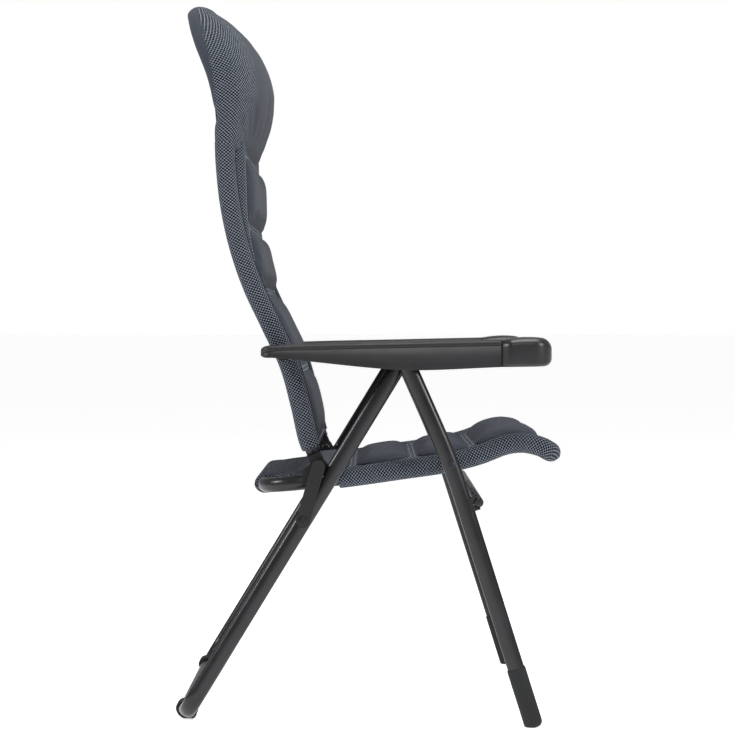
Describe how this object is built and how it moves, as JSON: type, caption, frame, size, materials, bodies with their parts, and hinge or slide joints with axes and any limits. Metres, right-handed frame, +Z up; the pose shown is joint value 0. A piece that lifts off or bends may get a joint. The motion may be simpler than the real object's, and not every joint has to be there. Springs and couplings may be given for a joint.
{
  "type": "folding camp chair",
  "caption": "High-back folding camp chair with padded seat, back and headrest, reclining back, moulded armrests and oval-tube legs.",
  "frame": {"origin": "on the ground, under the middle of the chair as it stands open", "axes": "+Z up, +X to the front of the chair, +Y to the sitter's left"},
  "size_m": [0.6198, 0.6518, 1.165],
  "materials": {
    "tube_graphite": "satin powder coat, fine grain",
    "black_fittings": "matt moulded",
    "armrest_moulding": "fine-grained moulding",
    "rubber_black": "matt",
    "padded_fabric": "smooth matt panels with honeycomb mesh sides",
    "steel_screws": "blackened steel"
  },
  "bodies": {
    "rear_legs": {"rear_leg_frame": "tube_graphite", "rear_leg_fitting_right": "black_fittings", "rear_leg_fitting_left": "black_fittings", "rear_foot_pad_right": "rubber_black", "rear_foot_pad_left": "rubber_black", "arm_pin_right": "steel_screws", "arm_pin_left": "steel_screws", "link_screw_right": "steel_screws", "link_screw_left": "steel_screws"},
    "front_legs": {"front_cross_tube": "tube_graphite", "front_leg_right": "tube_graphite", "front_leg_left": "tube_graphite", "front_leg_fitting_right": "black_fittings", "front_leg_fitting_left": "black_fittings", "front_boot_right": "rubber_black", "front_boot_left": "rubber_black", "cross_tube_saddle_right": "black_fittings", "cross_tube_saddle_left": "black_fittings", "seat_pivot_bolt_right": "steel_screws", "seat_pivot_bolt_left": "steel_screws", "seat_pivot_spacer_right": "black_fittings", "seat_pivot_spacer_left": "black_fittings"},
    "links": {"link_right": "black_fittings", "link_left": "black_fittings"},
    "seat": {"seat_frame": "tube_graphite", "seat_front_rail": "tube_graphite", "seat_pad": "padded_fabric", "seat_hinge_lug_right": "black_fittings", "seat_hinge_lug_left": "black_fittings"},
    "hinge_bolts": {"hinge_bolt_right": "steel_screws", "hinge_bolt_left": "steel_screws", "hinge_spacer_right": "steel_screws", "hinge_spacer_left": "steel_screws"},
    "back": {"back_frame": "tube_graphite", "back_pad": "padded_fabric", "headrest": "padded_fabric", "back_end_fitting_right": "black_fittings", "back_end_fitting_left": "black_fittings"},
    "armrest_bolts": {"armrest_bolt_right": "steel_screws", "armrest_bolt_left": "steel_screws", "armrest_spacer_right": "steel_screws", "armrest_spacer_left": "steel_screws"},
    "armrest_bushes": {"armrest_bush_right": "steel_screws", "armrest_bush_left": "steel_screws"},
    "right_armrest": {"armrest_right": "armrest_moulding", "armrest_cap_right": "armrest_moulding", "notch_rack_right": "black_fittings"},
    "left_armrest": {"armrest_left": "armrest_moulding", "armrest_cap_left": "armrest_moulding", "notch_rack_left": "black_fittings"}
  },
  "joints": [
    {"name": "fold", "type": "hinge", "parent": "rear_legs", "child": "links", "pos_m": [-0.10173, 0, 0.32581], "axis": [0, -1, 0], "range_deg": [0, 148.5]},
    {"name": "front_leg_swing", "type": "hinge", "parent": "rear_legs", "child": "front_legs", "pos_m": [0.05808, 0, 0.587], "axis": [0, 1, 0], "range_deg": [0, 48.8]},
    {"name": "seat_swing", "type": "hinge", "parent": "links", "child": "seat", "pos_m": [-0.07742, 0, 0.4113], "axis": [0, 1, 0], "range_deg": [0, 103.8]},
    {"name": "back_fold", "type": "hinge", "parent": "seat", "child": "hinge_bolts", "pos_m": [-0.07742, 0, 0.4113], "axis": [0, 1, 0], "range_deg": [0, 86.7]},
    {"name": "recline", "type": "hinge", "parent": "hinge_bolts", "child": "back", "pos_m": [-0.07742, 0, 0.4113], "axis": [0, -1, 0], "range_deg": [0, 42]},
    {"name": "armrest_fold", "type": "hinge", "parent": "back", "child": "armrest_bolts", "pos_m": [-0.13442, 0, 0.593], "axis": [0, -1, 0], "range_deg": [0, 88.8]},
    {"name": "armrest_level", "type": "hinge", "parent": "armrest_bolts", "child": "armrest_bushes", "pos_m": [-0.13442, 0, 0.593], "axis": [0, 1, 0], "range_deg": [0, 26.2]},
    {"name": "armrest_lift_right", "type": "hinge", "parent": "armrest_bushes", "child": "right_armrest", "pos_m": [-0.13442, 0, 0.593], "axis": [0, -1, 0], "range_deg": [0, 8]},
    {"name": "armrest_lift_left", "type": "hinge", "parent": "armrest_bushes", "child": "left_armrest", "pos_m": [-0.13442, 0, 0.593], "axis": [0, -1, 0], "range_deg": [0, 8]}
  ],
  "couplings": [
    {"joint": "front_leg_swing", "follows": "fold", "ratio": 0.32862},
    {"joint": "seat_swing", "follows": "fold", "ratio": 0.69899},
    {"joint": "back_fold", "follows": "fold", "ratio": 0.58384},
    {"joint": "armrest_fold", "follows": "fold", "ratio": 0.59798},
    {"joint": "armrest_level", "follows": "recline", "ratio": 0.62381}
  ]
}
